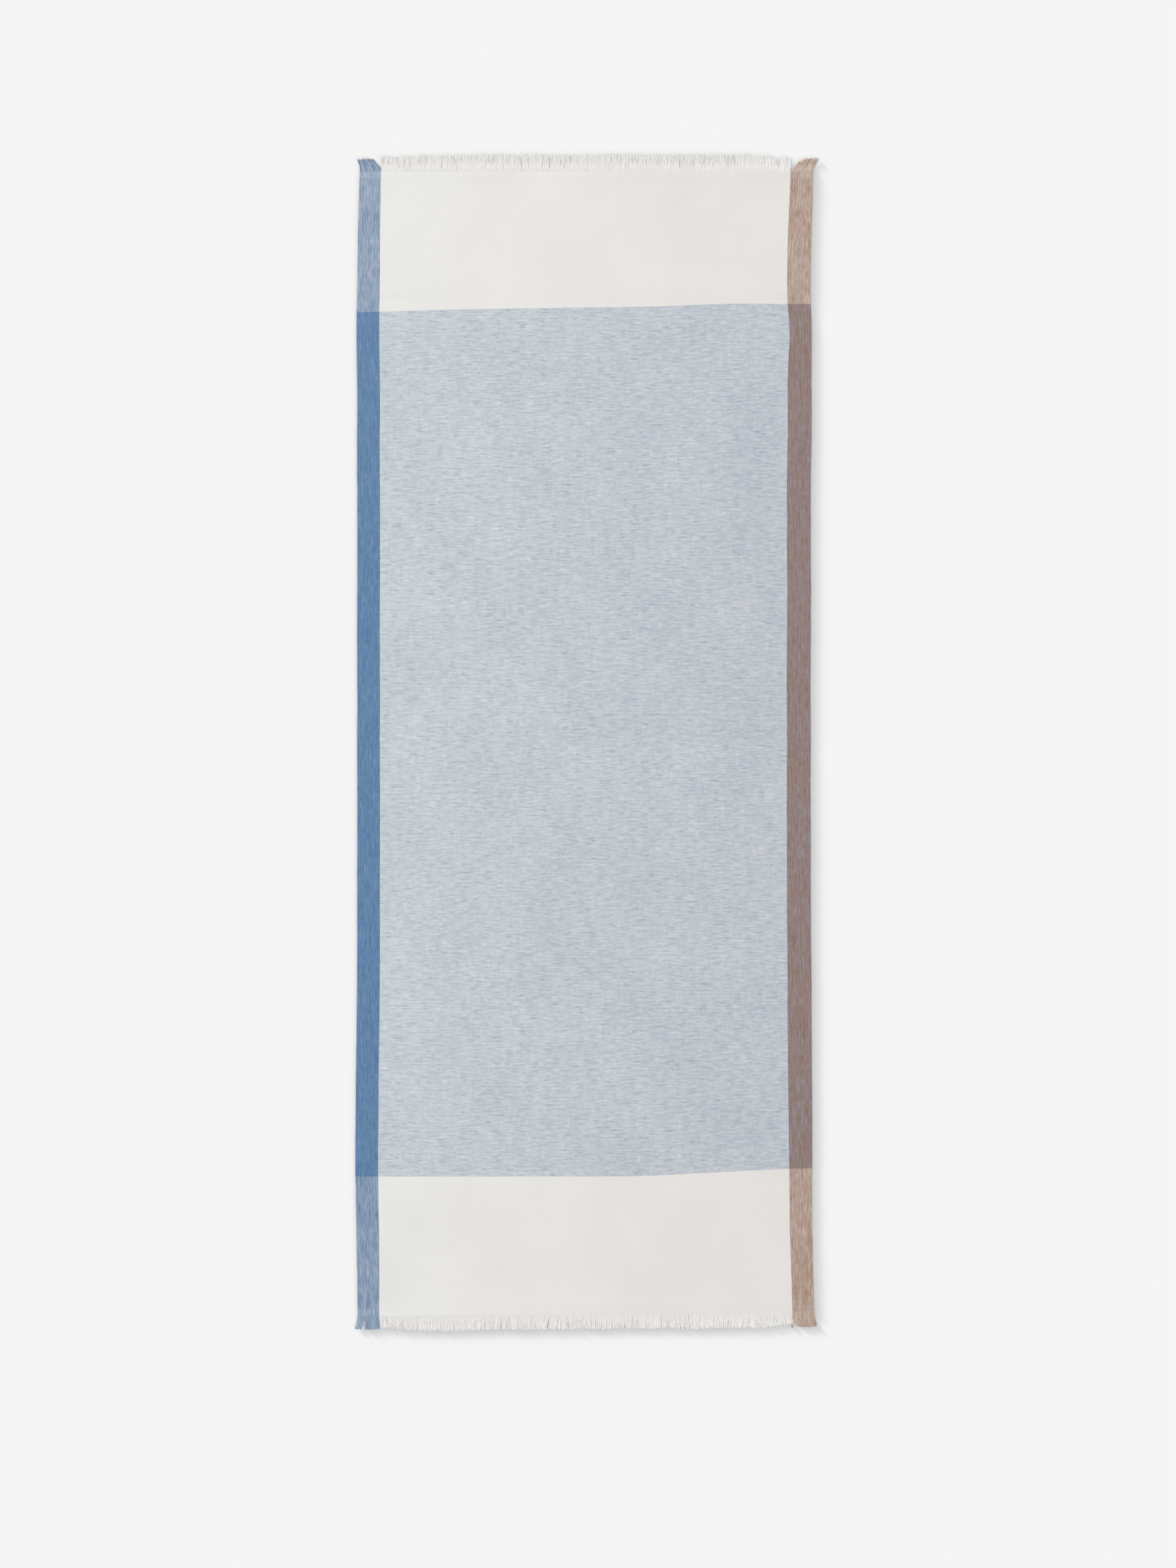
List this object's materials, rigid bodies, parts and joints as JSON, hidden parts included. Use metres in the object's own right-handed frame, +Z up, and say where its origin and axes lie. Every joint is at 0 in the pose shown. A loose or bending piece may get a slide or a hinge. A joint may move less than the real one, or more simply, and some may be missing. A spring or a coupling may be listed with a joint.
{
  "type": "table runner",
  "caption": "Long rectangular woven table runner with a coloured stripe along each long edge, a tinted centre, plain ends and short fringes; folds for storage.",
  "frame": {"origin": "middle of the underside, where the runner rests on the table", "axes": "+Y along the warp towards the north end, +X across towards the brown stripe, +Z up"},
  "size_m": [0.5, 1.3, 0.0008],
  "materials": {
    "blue_stripe_centre": "matt woven cloth, blue warp over blue weft",
    "blue_stripe_end": "matt woven cloth, blue warp over ivory weft",
    "ground_centre": "matt slubby woven cloth, ivory warp over blue weft",
    "ground_end": "matt woven cloth, ivory warp over ivory weft",
    "brown_stripe_centre": "matt woven cloth, brown warp over blue weft",
    "brown_stripe_end": "matt woven cloth, brown warp over ivory weft",
    "blue_stripe_fringe": "loose matt blue yarn",
    "ground_fringe": "loose matt ivory yarn",
    "brown_stripe_fringe": "loose matt brown yarn",
    "lock_stitches": "matt sewing thread"
  },
  "bodies": {
    "south_half": {"blue_stripe_south_centre": "blue_stripe_centre", "ground_south_centre": "ground_centre", "brown_stripe_south_centre": "brown_stripe_centre"},
    "north_half": {"blue_stripe_north_centre": "blue_stripe_centre", "ground_north_centre": "ground_centre", "brown_stripe_north_centre": "brown_stripe_centre"},
    "south_end": {"blue_stripe_south_end": "blue_stripe_end", "blue_stripe_south_fringe": "blue_stripe_fringe", "ground_south_end": "ground_end", "ground_south_fringe": "ground_fringe", "brown_stripe_south_end": "brown_stripe_end", "brown_stripe_south_fringe": "brown_stripe_fringe", "lock_stitches_south": "lock_stitches"},
    "north_end": {"blue_stripe_north_end": "blue_stripe_end", "blue_stripe_north_fringe": "blue_stripe_fringe", "ground_north_end": "ground_end", "ground_north_fringe": "ground_fringe", "brown_stripe_north_end": "brown_stripe_end", "brown_stripe_north_fringe": "brown_stripe_fringe", "lock_stitches_north": "lock_stitches"}
  },
  "joints": [
    {"name": "middle_fold", "type": "hinge", "parent": "south_half", "child": "north_half", "pos_m": [0, 0, 0.0036], "axis": [1, 0, 0], "range_deg": [0, 180]},
    {"name": "south_fold", "type": "hinge", "parent": "south_half", "child": "south_end", "pos_m": [0, -0.48, 0.0015], "axis": [-1, 0, 0], "range_deg": [0, 180]},
    {"name": "north_fold", "type": "hinge", "parent": "north_half", "child": "north_end", "pos_m": [0, 0.48, 0.0015], "axis": [1, 0, 0], "range_deg": [0, 180]}
  ]
}
